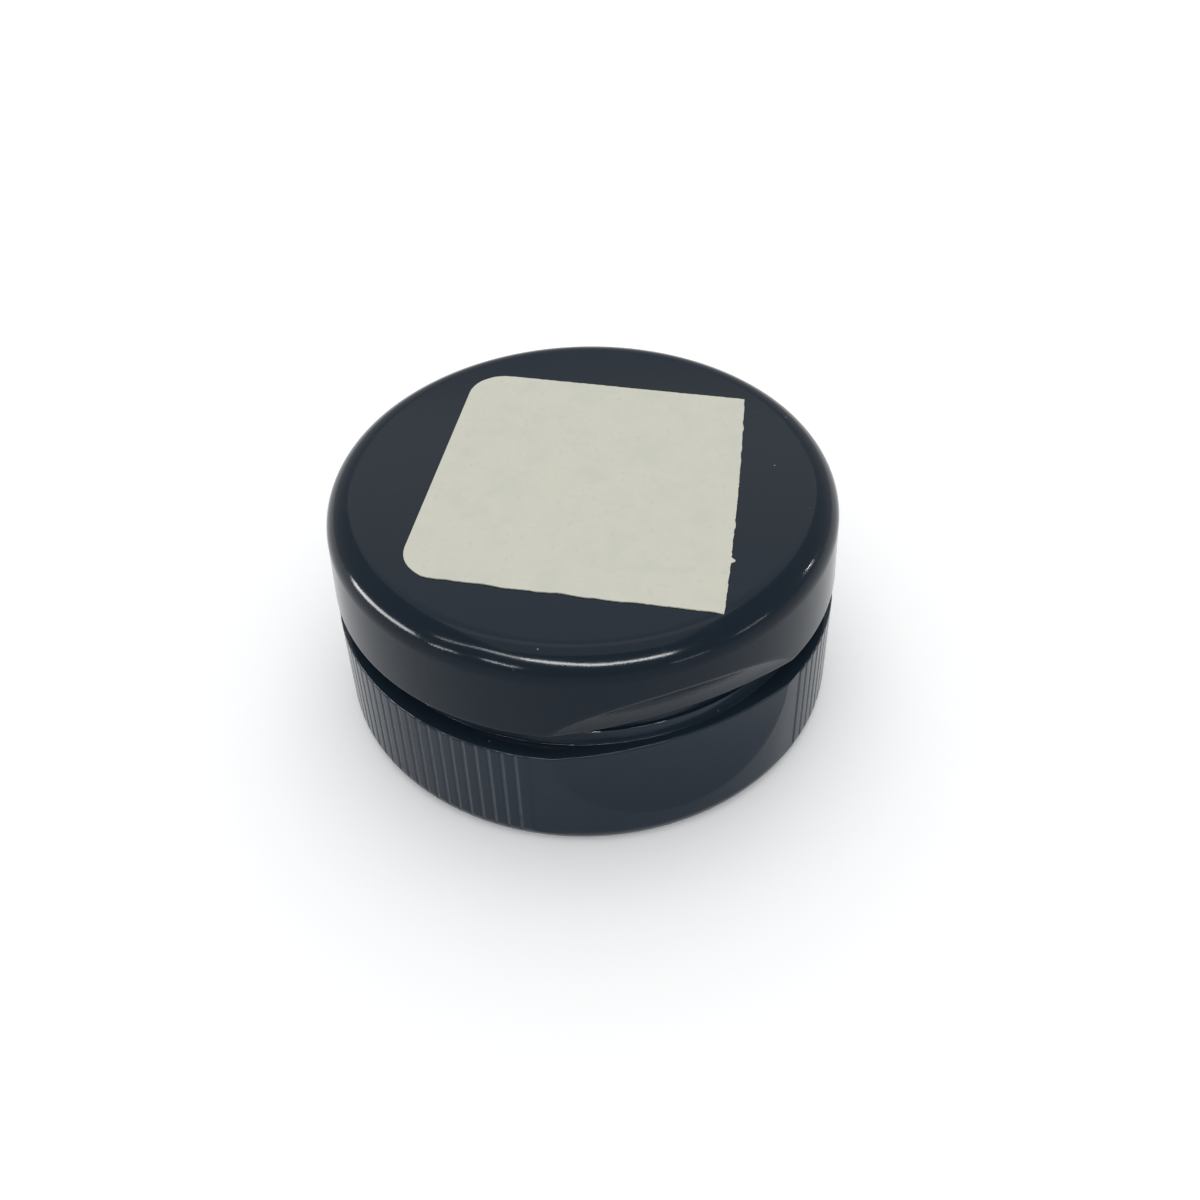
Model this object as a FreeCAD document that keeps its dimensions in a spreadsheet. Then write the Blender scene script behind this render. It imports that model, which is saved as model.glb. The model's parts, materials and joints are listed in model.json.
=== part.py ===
import FreeCAD, Part
import os
import re

import Sketcher
from FreeCAD import Placement, Rotation, Vector

# Flip top cap for a 38 mm bottle neck, closed, standing on the rim of its skirt.
# Millimetres, +Z up. The origin is on the cap's axis at the rim of the skirt.
# The thumb scoop faces -Y and the film hinge is at +Y.

SIZES = [
    # skirt
    ("bore_radius", 19.0, "wall that carries the neck thread"),
    ("skirt_wall", 2.2, "bore to the outside of the skirt"),
    ("skirt_height", 10.1, "rim to shoulder"),
    ("foot_bevel_depth", 0.55, "bevel round the foot, inwards"),
    ("foot_bevel_height", 1.4, "bevel round the foot, upwards"),
    # grip
    ("flute_count", 99, "flutes cut between the grip ribs"),
    ("flute_pitch", 3.0, "degrees from one flute to the next"),
    ("flute_angle", 1.0, "degrees between the two sides of a flute"),
    ("flute_depth", 0.35, "depth of a flute below the skirt's surface"),
    # neck bore
    ("bore_stop", 0.3, "end of the threaded wall below the shoulder"),
    ("lead_in", 0.4, "bevel at the mouth of the bore"),
    ("spigot_wall", 0.95, "throat above the thread to the outside of the spigot"),
    # collar and deck
    ("collar_wall", 0.6, "bore to the outside of the recessed collar"),
    ("collar_ledge", 0.8, "ledge that the lid's lip stands over"),
    ("spigot_height", 1.05, "collar to deck, the spigot that the lid's lip closes round"),
    ("snap_bead", 0.08, "how far the snap bead stands out of the spigot"),
    ("snap_bead_height", 0.5, "height of the snap bead"),
    ("deck_drop", 0.1, "deck below the lid's lower edge"),
    ("deck_thickness", 1.3, "floor of the closed space under the lid"),
    ("deck_bevel", 0.3, "how far the bead's top ramp runs in on the deck"),
    ("seal_inset", 1.65, "throat to the ring that presses on the bottle's lip"),
    ("seal_width", 0.7, "width of the seal ring at its root"),
    ("seal_height", 0.6, "how far the seal ring hangs down"),
    # pouring hole
    ("pour_radius", 4.0, "radius of the pouring hole"),
    ("spout_wall", 1.2, "wall of the low spout round the hole"),
    ("spout_height", 1.4, "deck to the spout's edge"),
    # lid
    ("lid_draft", 0.25, "how much narrower the lid is at its top"),
    ("parting_gap", 2.6, "shoulder to the lid's lower edge"),
    ("lid_height", 7.8, "lower edge to the flat top"),
    ("lid_roof", 1.5, "thickness of the lid's flat top"),
    ("lid_wall", 1.65, "thickness of the lid's side wall"),
    ("top_round", 2.5, "round between the lid's side and top"),
    ("inner_bevel", 0.9, "bevel inside, between the roof and the wall"),
    ("lip_wall", 0.6, "thickness of the lip that closes round the spigot"),
    ("lip_fit", 0.15, "radial clearance of the lip round the spigot"),
    ("lip_seat", 0.05, "height between the lip and the collar"),
    ("lip_rise", 0.9, "how far the lip's bore runs up inside the lid"),
    ("plug_fit", 0.08, "radial clearance of the plug in the pouring hole"),
    ("plug_wall", 0.85, "wall of the hollow plug"),
    ("plug_reach", 0.8, "how far the plug goes into the spout"),
    ("plug_taper", 0.12, "lead-in taper of the plug's tip"),
    # thumb scoop
    ("scoop_depth", 1.15, "deepest cut of the scoop"),
    ("scoop_drop", 1.65, "middle of the scoop below the middle of the gap"),
    ("scoop_hollow", 20.7, "radius of the scoop seen from the side"),
    ("scoop_sweep", 37.0, "radius of the scoop seen from above"),
    ("scoop_arc", 60.0, "degrees that the scoop's cutter sweeps"),
    # film hinge
    ("hinge_reach", 0.8, "fold line beyond the skirt's outer radius"),
    ("hinge_width", 11.0, "width of the hinge strap"),
    ("fold_radius", 0.15, "half the thickness of the film at the fold"),
    ("fold_fit", 0.05, "clearance between the two sides of the fold"),
    ("leg_root", 0.8, "thickness of a strap leg at its root"),
    ("leg_sink", 0.9, "how far a leg's root runs into its wall"),
    # paper label
    ("label_margin", 0.35, "label's corners from the rim of the lid's flat top"),
    ("label_slant", 42.9, "degrees between the label's diagonal and its long side"),
    ("label_corner", 3.0, "radius of the two rounded corners"),
    ("label_thickness", 0.1, "paper and adhesive"),
    ("label_shift_x", 0.05, "middle of the label from the cap's axis"),
    ("label_shift_y", -0.25, "middle of the label from the cap's axis"),
    ("label_turn", -31.5, "degrees that the label is turned on the lid"),
]

# heights that follow from the sizes above
LID_FOOT = "skirt_height + parting_gap"
CAP_HEIGHT = f"{LID_FOOT} + lid_height"
CEILING = f"{CAP_HEIGHT} - lid_roof"
DECK_TOP = f"{LID_FOOT} - deck_drop"
THROAT_TOP = f"{DECK_TOP} - deck_thickness"
COLLAR_TOP = f"{DECK_TOP} - spigot_height"
SPOUT_TOP = f"{DECK_TOP} + spout_height"
BORE_TOP = "skirt_height - bore_stop"
LIP_FOOT = f"{COLLAR_TOP} + lip_seat"
LIP_TOP = f"{LID_FOOT} + lip_rise"

# radii that follow from the bore of the neck
SKIRT_RADIUS = "bore_radius + skirt_wall"
COLLAR_RADIUS = "bore_radius + collar_wall"
SPIGOT_RADIUS = f"{COLLAR_RADIUS} - collar_ledge"
THROAT_RADIUS = f"{SPIGOT_RADIUS} - spigot_wall"
SEAL_RADIUS = f"{THROAT_RADIUS} - seal_inset"
CAVITY_RADIUS = f"{SKIRT_RADIUS} - lid_wall"
LID_TOP_RADIUS = f"{SKIRT_RADIUS} - lid_draft"
FLAT_RADIUS = f"{LID_TOP_RADIUS} - top_round"
LIP_BORE = f"{SPIGOT_RADIUS} + lip_fit"
PLUG_RADIUS = "pour_radius - plug_fit"

# the fold line of the film hinge
FOLD_Y = f"{SKIRT_RADIUS} + hinge_reach"
FOLD_Z = "skirt_height + parting_gap / 2"

doc = FreeCAD.newDocument("flip_top_cap")


def make_sheet():
    """Spreadsheet with one aliased cell for every driving size."""
    page = doc.addObject("Spreadsheet::Sheet", "sizes")
    for row, (name, value, note) in enumerate(SIZES, start=1):
        page.set(f"A{row}", name)
        page.set(f"B{row}", str(value))
        page.set(f"C{row}", note)
        page.setAlias(f"B{row}", name)
    doc.recompute()
    return page


sheet = make_sheet()


def bound(formula):
    """The formula with each size's name pointed at its cell."""
    return re.sub(r"[a-z]\w*(?!\w*\()", lambda word: "sizes." + word.group(), formula)


def value_of(formula):
    return float(sheet.evalExpression(bound(formula)))


def make_body(label):
    body = doc.addObject("PartDesign::Body", label)
    body.Label = label
    return body


def origin_feature(body, role):
    return next(item for item in body.Origin.OriginFeatures if item.Role == role)


def make_sketch(body, name, plane):
    sketch = body.newObject("Sketcher::SketchObject", name)
    sketch.AttachmentSupport = (origin_feature(body, plane), [""])
    sketch.MapMode = "FlatFace"
    return sketch


def hold_point(sketch, geometry, end, across, up):
    """Hold one point of the sketch at two formulas measured from the sketch's origin."""
    for kind, axis, formula in (("DistanceX", -2, across), ("DistanceY", -1, up)):
        size = value_of(formula)
        if abs(size) < 1e-9:
            sketch.addConstraint(Sketcher.Constraint("PointOnObject", geometry, end, axis))
            continue
        ends = (-1, 1, geometry, end) if size > 0 else (geometry, end, -1, 1)
        number = sketch.addConstraint(Sketcher.Constraint(kind, *ends, abs(size)))
        sketch.setExpression(f"Constraints[{number}]", bound(formula if size > 0 else f"-({formula})"))


def draw_outline(sketch, corners):
    """Closed outline of straight edges through corners given as pairs of formulas."""
    spots = [Vector(value_of(across), value_of(up), 0) for across, up in corners]
    count = len(spots)
    for index, spot in enumerate(spots):
        sketch.addGeometry(Part.LineSegment(spot, spots[(index + 1) % count]), False)
    for index in range(count):
        sketch.addConstraint(Sketcher.Constraint("Coincident", index, 2, (index + 1) % count, 1))
    for index, (across, up) in enumerate(corners):
        hold_point(sketch, index, 1, across, up)


def revolve_profile(body, name, corners):
    """Full turn of an outline in the XZ plane about the cap's axis."""
    sketch = make_sketch(body, name + "_profile", "XZ_Plane")
    draw_outline(sketch, corners)
    turned = body.newObject("PartDesign::Revolution", name)
    turned.Profile = sketch
    turned.ReferenceAxis = (sketch, ["V_Axis"])
    turned.Angle = 360.0
    doc.recompute()
    return turned


def rim_edges(shape, radius, height):
    """Names of the circular edges about the cap's axis with this radius and height."""
    names = []
    for number, edge in enumerate(shape.Edges, start=1):
        curve = edge.Curve
        if not isinstance(curve, Part.Circle):
            continue
        if abs(curve.Radius - radius) < 1e-4 and abs(curve.Center.z - height) < 1e-4:
            names.append(f"Edge{number}")
    return names


def round_rim(body, name, base, radius, height, size_name):
    """Fillet on the rim that lies at the two formulas."""
    edges = rim_edges(base.Shape, value_of(radius), value_of(height))
    fillet = body.newObject("PartDesign::Fillet", name)
    fillet.Base = (base, edges)
    fillet.Radius = value_of(size_name)
    fillet.setExpression("Radius", bound(size_name))
    doc.recompute()
    return fillet


def cut_scoop(body):
    """Thumb scoop: a round hollow swept on a wide arc about an upright axis behind the cap."""
    sketch = make_sketch(body, body.Label + "_scoop_profile", "YZ_Plane")
    hollow = value_of("scoop_hollow")
    middle = f"-({SKIRT_RADIUS} - scoop_depth + scoop_hollow)"
    height = f"{FOLD_Z} - scoop_drop"
    axis_place = f"scoop_sweep - ({SKIRT_RADIUS} - scoop_depth)"
    centre = Vector(value_of(middle), value_of(height), 0)
    sketch.addGeometry(Part.Circle(centre, Vector(0, 0, 1), hollow), False)
    hold_point(sketch, 0, 3, middle, height)
    number = sketch.addConstraint(Sketcher.Constraint("Radius", 0, hollow))
    sketch.setExpression(f"Constraints[{number}]", bound("scoop_hollow"))
    foot = Vector(value_of(axis_place), 0, 0)
    head = Vector(value_of(axis_place), value_of("scoop_hollow"), 0)
    sketch.addGeometry(Part.LineSegment(foot, head), True)
    hold_point(sketch, 1, 1, axis_place, "0")
    hold_point(sketch, 1, 2, axis_place, "scoop_hollow")
    groove = body.newObject("PartDesign::Groove", body.Label + "_scoop")
    groove.Profile = sketch
    groove.ReferenceAxis = (sketch, ["Axis0"])
    groove.Midplane = True
    groove.Angle = value_of("scoop_arc")
    groove.setExpression("Angle", bound("scoop_arc"))
    doc.recompute()
    return groove


def cut_flutes(body):
    """Flutes between the grip ribs, from one side of the smooth front round to the other."""
    sketch = make_sketch(body, "flute_profile", "XY_Plane")
    floor = f"({SKIRT_RADIUS} - flute_depth)"
    mouth = f"({SKIRT_RADIUS} + flute_depth)"
    spread = "tan(flute_angle / 2)"
    draw_outline(
        sketch,
        [
            (f"-{mouth} * {spread}", f"-{mouth}"),
            (f"{mouth} * {spread}", f"-{mouth}"),
            (f"{floor} * {spread}", f"-{floor}"),
            (f"-{floor} * {spread}", f"-{floor}"),
        ],
    )
    first_turn = "180 - flute_pitch * (flute_count - 1) / 2"
    sketch.AttachmentOffset = Placement(Vector(), Rotation(Vector(0, 0, 1), value_of(first_turn)))
    sketch.setExpression("AttachmentOffset.Rotation.Angle", bound(first_turn))
    flute = body.newObject("PartDesign::Pocket", "flute")
    flute.Profile = sketch
    flute.Length = value_of("skirt_height")
    flute.setExpression("Length", bound("skirt_height"))
    flute.Reversed = True
    doc.recompute()
    pattern = body.newObject("PartDesign::PolarPattern", "flutes")
    pattern.Originals = [flute]
    pattern.Axis = (origin_feature(body, "Z_Axis"), [""])
    pattern.Angle = value_of("flute_pitch * (flute_count - 1)")
    pattern.setExpression("Angle", bound("flute_pitch * (flute_count - 1)"))
    pattern.Occurrences = int(value_of("flute_count"))
    pattern.setExpression("Occurrences", bound("flute_count"))
    body.Tip = pattern
    doc.recompute()
    return pattern


def pad_across(body, name, corners):
    """Pad of an outline in the YZ plane, as wide as the hinge and even about the middle."""
    sketch = make_sketch(body, name + "_profile", "YZ_Plane")
    draw_outline(sketch, corners)
    pad = body.newObject("PartDesign::Pad", name)
    pad.Profile = sketch
    pad.Midplane = True
    pad.Length = value_of("hinge_width")
    pad.setExpression("Length", bound("hinge_width"))
    doc.recompute()
    return pad


def leg_corners(side):
    """Outline of one leg of the hinge strap. Side is -1 below the fold and 1 above it.

    The leg runs from the corner of its wall to the fold, and is thickest at its root.
    """
    sign = "-" if side < 0 else "+"
    root = f"{FOLD_Z} {sign} parting_gap / 2"
    far_root = f"{root} {sign} leg_root"
    return [
        (f"{FOLD_Y} - fold_radius", FOLD_Z),
        (FOLD_Y, FOLD_Z),
        (f"{SKIRT_RADIUS} + leg_root / 2", root),
        (f"{SKIRT_RADIUS} - leg_root / 4", far_root),
        (f"{SKIRT_RADIUS} - leg_sink", far_root),
        (f"{SKIRT_RADIUS} - leg_sink", root),
        (f"{SKIRT_RADIUS} - leg_root / 2", root),
    ]


def draw_fold_circle(body, name, radius):
    """Circle about the fold line, in the YZ plane."""
    sketch = make_sketch(body, name + "_profile", "YZ_Plane")
    centre = Vector(value_of(FOLD_Y), value_of(FOLD_Z), 0)
    sketch.addGeometry(Part.Circle(centre, Vector(0, 0, 1), value_of(radius)), False)
    hold_point(sketch, 0, 3, FOLD_Y, FOLD_Z)
    number = sketch.addConstraint(Sketcher.Constraint("Radius", 0, value_of(radius)))
    sketch.setExpression(f"Constraints[{number}]", bound(radius))
    return sketch


def make_cap_base():
    """Skirt, collar, deck and spout with the lower half of the film hinge, one moulding."""
    body = make_body("cap_base")
    bead_crest = f"{DECK_TOP} - snap_bead_height"
    bead_foot = f"{bead_crest} - snap_bead"
    revolve_profile(
        body,
        "base_shell",
        [
            ("bore_radius + lead_in", "0"),
            (f"{SKIRT_RADIUS} - foot_bevel_depth", "0"),
            (SKIRT_RADIUS, "foot_bevel_height"),
            (SKIRT_RADIUS, "skirt_height"),
            (COLLAR_RADIUS, "skirt_height"),
            (COLLAR_RADIUS, COLLAR_TOP),
            (SPIGOT_RADIUS, COLLAR_TOP),
            (SPIGOT_RADIUS, bead_foot),
            (f"{SPIGOT_RADIUS} + snap_bead", bead_crest),
            (f"{SPIGOT_RADIUS} - deck_bevel", DECK_TOP),
            ("pour_radius + spout_wall", DECK_TOP),
            ("pour_radius + spout_wall", SPOUT_TOP),
            ("pour_radius", SPOUT_TOP),
            ("pour_radius", THROAT_TOP),
            (f"{SEAL_RADIUS} - seal_width / 2", THROAT_TOP),
            (SEAL_RADIUS, f"{THROAT_TOP} - seal_height"),
            (f"{SEAL_RADIUS} + seal_width / 2", THROAT_TOP),
            (THROAT_RADIUS, THROAT_TOP),
            (THROAT_RADIUS, BORE_TOP),
            ("bore_radius", BORE_TOP),
            ("bore_radius", "lead_in"),
        ],
    )
    cut_flutes(body)
    cut_scoop(body)
    pad_across(body, "base_leg", leg_corners(-1))
    fold = body.newObject("PartDesign::Pad", "fold_bead")
    fold.Profile = draw_fold_circle(body, "fold_bead", "fold_radius")
    fold.Midplane = True
    fold.Length = value_of("hinge_width")
    fold.setExpression("Length", bound("hinge_width"))
    doc.recompute()
    return body


def make_flip_lid():
    """Lid with its lip, plug and the upper half of the film hinge, one moulding."""
    body = make_body("flip_lid")
    lip_slope = f"{CAVITY_RADIUS} - ({LIP_BORE})"
    shell = revolve_profile(
        body,
        "lid_shell",
        [
            (LIP_BORE, LIP_FOOT),
            (f"{LIP_BORE} + lip_wall", LIP_FOOT),
            (f"{LIP_BORE} + lip_wall", LID_FOOT),
            (SKIRT_RADIUS, LID_FOOT),
            (LID_TOP_RADIUS, CAP_HEIGHT),
            ("0", CAP_HEIGHT),
            ("0", CEILING),
            (f"{PLUG_RADIUS} - plug_wall", CEILING),
            (f"{PLUG_RADIUS} - plug_wall", f"{SPOUT_TOP} - plug_reach"),
            (f"{PLUG_RADIUS} - plug_taper", f"{SPOUT_TOP} - plug_reach"),
            (PLUG_RADIUS, SPOUT_TOP),
            (PLUG_RADIUS, CEILING),
            (f"{CAVITY_RADIUS} - inner_bevel", CEILING),
            (CAVITY_RADIUS, f"{CEILING} - inner_bevel"),
            (CAVITY_RADIUS, f"{LIP_TOP} + {lip_slope}"),
            (LIP_BORE, LIP_TOP),
        ],
    )
    round_rim(body, "top_edge", shell, LID_TOP_RADIUS, CAP_HEIGHT, "top_round")
    cut_scoop(body)
    pad_across(body, "lid_leg", leg_corners(1))
    clear = body.newObject("PartDesign::Pocket", "fold_clearance")
    clear.Profile = draw_fold_circle(body, "fold_clearance", "fold_radius + fold_fit")
    clear.Midplane = True
    clear.Length = value_of("2 * hinge_width")
    clear.setExpression("Length", bound("2 * hinge_width"))
    doc.recompute()
    return body


def make_paper_label():
    """Paper sticker on the lid's flat top, with two rounded corners on its left side."""
    body = make_body("paper_label")
    sketch = make_sketch(body, "label_outline", "XY_Plane")
    half_diagonal = f"({FLAT_RADIUS} - label_margin)"
    half_width = f"{half_diagonal} * sin(label_slant)"
    half_length = f"{half_diagonal} * cos(label_slant)"
    draw_outline(
        sketch,
        [
            (f"-{half_width}", f"-{half_length}"),
            (half_width, f"-{half_length}"),
            (half_width, half_length),
            (f"-{half_width}", half_length),
        ],
    )
    place = Placement(
        Vector(value_of("label_shift_x"), value_of("label_shift_y"), value_of(CAP_HEIGHT)),
        Rotation(Vector(0, 0, 1), value_of("label_turn")),
    )
    sketch.AttachmentOffset = place
    sketch.setExpression("AttachmentOffset.Base.x", bound("label_shift_x"))
    sketch.setExpression("AttachmentOffset.Base.y", bound("label_shift_y"))
    sketch.setExpression("AttachmentOffset.Base.z", bound(CAP_HEIGHT))
    sketch.setExpression("AttachmentOffset.Rotation.Angle", bound("label_turn"))
    sheet_pad = body.newObject("PartDesign::Pad", "label_sheet")
    sheet_pad.Profile = sketch
    sheet_pad.Length = value_of("label_thickness")
    sheet_pad.setExpression("Length", bound("label_thickness"))
    doc.recompute()
    to_label = place.inverse()
    corners = []
    for number, edge in enumerate(sheet_pad.Shape.Edges, start=1):
        middle = to_label.multVec(edge.CenterOfMass)
        upright = abs(edge.tangentAt(edge.FirstParameter).z) > 0.99
        if upright and middle.x < 0:
            corners.append(f"Edge{number}")
    rounded = body.newObject("PartDesign::Fillet", "label_corners")
    rounded.Base = (sheet_pad, corners)
    rounded.Radius = value_of("label_corner")
    rounded.setExpression("Radius", bound("label_corner"))
    doc.recompute()
    return body


def check_document(bodies):
    """Stop on any failed object or on a body that isn't one valid solid."""
    for item in doc.Objects:
        if "Invalid" in item.State or "Error" in item.State:
            raise RuntimeError(f"{item.Name} failed: {item.State}")
    for body in bodies:
        shape = body.Shape
        if shape.isNull() or not shape.isValid() or len(shape.Solids) != 1:
            raise RuntimeError(f"{body.Label} isn't one valid solid")


def write_parts(bodies):
    os.makedirs("parts", exist_ok=True)
    for body in bodies:
        body.Shape.exportStep(os.path.join("parts", body.Label + ".step"))
        box = body.Shape.BoundBox
        print(
            f"{body.Label}: {body.Shape.Volume / 1000:.3f} cm3,",
            f"X {box.XMin:.2f} to {box.XMax:.2f},",
            f"Y {box.YMin:.2f} to {box.YMax:.2f},",
            f"Z {box.ZMin:.2f} to {box.ZMax:.2f}",
        )


bodies = [make_cap_base(), make_flip_lid(), make_paper_label()]
doc.recompute()
check_document(bodies)
write_parts(bodies)
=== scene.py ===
import functools
import json
import math

import bmesh
import bpy
from mathutils import Matrix, Vector, noise


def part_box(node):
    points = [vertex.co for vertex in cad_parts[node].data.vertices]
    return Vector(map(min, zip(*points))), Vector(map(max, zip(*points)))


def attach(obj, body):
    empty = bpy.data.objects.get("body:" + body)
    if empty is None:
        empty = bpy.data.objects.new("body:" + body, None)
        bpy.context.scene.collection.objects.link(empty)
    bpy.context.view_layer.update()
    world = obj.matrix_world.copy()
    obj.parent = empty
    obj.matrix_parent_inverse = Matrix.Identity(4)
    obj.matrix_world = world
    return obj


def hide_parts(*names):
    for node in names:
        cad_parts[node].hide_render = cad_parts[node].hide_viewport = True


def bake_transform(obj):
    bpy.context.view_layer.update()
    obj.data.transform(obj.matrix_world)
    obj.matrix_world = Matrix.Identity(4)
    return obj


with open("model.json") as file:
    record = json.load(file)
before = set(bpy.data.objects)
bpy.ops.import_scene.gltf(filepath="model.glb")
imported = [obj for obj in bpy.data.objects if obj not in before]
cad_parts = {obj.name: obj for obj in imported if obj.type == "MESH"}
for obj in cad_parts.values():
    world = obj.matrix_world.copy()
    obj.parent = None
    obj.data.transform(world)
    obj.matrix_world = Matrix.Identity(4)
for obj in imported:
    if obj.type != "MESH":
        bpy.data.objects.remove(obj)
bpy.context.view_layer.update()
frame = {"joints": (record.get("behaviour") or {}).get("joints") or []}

bl_info = {
    "name": "Flip top cap",
    "version": (1, 0, 0),
    "blender": (4, 5, 0),
    "location": "View3D > Sidebar > Flip top cap",
    "description": "Dresses the frame of a black flip top cap with its mouldings, label and light",
    "category": "Add Mesh",
}

MM = 0.001
TOUCHING = 0.001 * MM
LID_RADIUS, _, LID_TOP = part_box("flip_lid")[1]
LABEL_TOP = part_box("paper_label")[1][2]


# Sizes and colours that a user would change


def length(name, description, default, **more):
    """A length in millimetres as a property in metres."""
    return bpy.props.FloatProperty(
        name=name,
        description=description,
        default=default * MM,
        unit="LENGTH",
        subtype="DISTANCE",
        precision=5,
        **more,
    )


def colour(name, description, default):
    return bpy.props.FloatVectorProperty(
        name=name, description=description, default=default, size=3, subtype="COLOR", min=0, max=1
    )


def share(name, description, default):
    return bpy.props.FloatProperty(
        name=name, description=description, default=default, min=0, max=1, subtype="FACTOR"
    )


class CapSkirtSizes(bpy.types.PropertyGroup):
    radius: length("Radius", "Outside of the skirt at its foot", LID_RADIUS / MM)
    height: length("Height", "Rim to shoulder", 10.1)
    draft: length("Draft", "How much narrower the skirt is at its shoulder", 0.0)
    foot_depth: length("Foot bevel depth", "Bevel round the foot, inwards", 0.55)
    foot_height: length("Foot bevel height", "Bevel round the foot, upwards", 1.4)
    bore: length("Bore", "Radius of the wall that carries the thread", 19.0)
    collar: length("Collar", "Radius of the recessed collar", 19.6)
    spigot: length("Spigot", "Radius of the spigot under the lid", 18.8)
    throat: length("Throat", "Radius of the bore above the thread", 17.85)
    pour: length("Pouring hole", "Radius of the pouring hole", 4.0)
    rib_pitch: bpy.props.FloatProperty(
        name="Rib pitch",
        description="Angle from one flute to the next",
        default=math.radians(3.0),
        unit="ROTATION",
    )
    flutes: bpy.props.IntProperty(name="Flutes", description="Flutes between the grip ribs", default=99)
    flute_depth: length("Flute depth", "Deepest part of a flute", 0.07)
    flute_width: length("Flute width", "Width over which a flute falls and rises", 0.32)
    flute_wall: length("Flute wall", "Width over which a flute's side slopes", 0.12)
    rib_end: length("Rib end", "Height of the ribs' rounded lower ends", 0.95)
    rib_corner: length("Rib corner", "Round of the corners of a rib's ends", 0.22)


class CapLidSizes(bpy.types.PropertyGroup):
    foot: length("Foot", "Height of the lid's lower edge", 12.7)
    draft: length("Draft", "How much narrower the lid is at its top", 0.25)
    round: length("Round", "Round between the lid's side and top", 2.5)
    wall: length("Wall", "Thickness of the side wall", 1.65)
    roof: length("Roof", "Thickness of the flat top", 1.5)


class CapScoopSizes(bpy.types.PropertyGroup):
    depth: length("Depth", "Deepest cut of the thumb scoop in the skirt", 0.85)
    height: length("Height", "Height at which the scoop is deepest", 10.1)
    hollow: length("Hollow", "Radius of the scoop seen from the side", 32.2)
    sweep: length("Sweep", "Radius of the scoop seen from above", 30.8)
    crease: length("Crease", "Width of the soft edge round the scoop", 0.1)


class CapLidScoopSizes(bpy.types.PropertyGroup):
    depth: length("Depth", "Depth that the lid's scoop would reach at the height below", 1.58)
    height: length("Height", "Middle of the lid's scoop, under its lower edge", 9.75)
    hollow: length("Hollow", "Radius of the scoop seen from the side", 15.5)
    sweep: length("Sweep", "Radius of the scoop seen from above", 39.5)
    crease: length("Crease", "Width of the soft edge round the scoop", 0.1)


class CapLabelSizes(bpy.types.PropertyGroup):
    width: length("Width", "Mean width of the label", 24.56)
    length: length("Length", "Mean length of the label", 26.85)
    corner: length("Corner", "Radius of the two rounded corners", 3.0)
    turn: bpy.props.FloatProperty(
        name="Turn", description="How far the label is turned", default=math.radians(-31.5), unit="ROTATION"
    )
    shift_x: length("Shift across", "How far the label's middle lies from the axis, to the right", 0.05)
    shift_y: length("Shift back", "How far the label's middle lies from the axis, to the hinge", -0.25)


class CapColours(bpy.types.PropertyGroup):
    lid: colour("Lid plastic", "Black polypropylene of the lid", (0.005, 0.0122, 0.0218))
    # The base's plastic is painted lighter than the lid's: painted light that stands in for the skirt's
    # brighter reflections, on the same black plastic.
    base: colour(
        "Base plastic", "Black polypropylene of the base, greyed by handling", (0.0155, 0.026, 0.040)
    )
    # The dust colour paints the dust specks and rubbed marks, and also the painted highlight lines along
    # the base's flutes.
    dust_and_highlights: colour("Dust", "Dust and rubbed edges on the plastic", (0.22, 0.23, 0.25))
    paper: colour("Paper", "Label paper", (0.59, 0.59, 0.50))
    grain: colour("Paper grain", "Greyer patches in the paper", (0.50, 0.51, 0.45))
    floor: colour("Floor", "Pale studio floor", (0.97, 0.97, 0.97))
    gloss: share("Gloss roughness", "Roughness of the moulded surfaces", 0.13)


PROPERTY_GROUPS = (
    CapSkirtSizes,
    CapLidSizes,
    CapScoopSizes,
    CapLidScoopSizes,
    CapLabelSizes,
    CapColours,
)




# Shapes shared by the pieces


def new_piece(name, bm, material, body, smooth_angle=30.0):
    """A mesh object from the bmesh, shaded smooth up to an angle, riding on its body."""
    mesh = bpy.data.meshes.new(name)
    bm.to_mesh(mesh)
    bm.free()
    mesh.polygons.foreach_set("use_smooth", [True] * len(mesh.polygons))
    mesh.set_sharp_from_angle(angle=math.radians(smooth_angle))
    piece = bpy.data.objects.new(name, mesh)
    bpy.context.scene.collection.objects.link(piece)
    mesh.materials.append(material)
    if body:
        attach(piece, body)
    return piece


def hold_flats(piece):
    """Keep flat faces flat beside their rounded edges."""
    weighted = piece.modifiers.new("flats", "WEIGHTED_NORMAL")
    weighted.mode = "FACE_AREA"
    weighted.weight = 60
    weighted.keep_sharp = True


LARGE_ROUND = 1.0
LARGE_ROUND_STEPS = 14
SMALL_ROUND_STEPS = 3


def points_at(bm, corners):
    """Points of an outline that lie at the radius and height of these corners."""
    spots = [Vector((corner[0], 0, corner[1])) * MM for corner in corners]
    return [point for point in bm.verts if any((point.co - spot).length < TOUCHING for spot in spots)]


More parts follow.
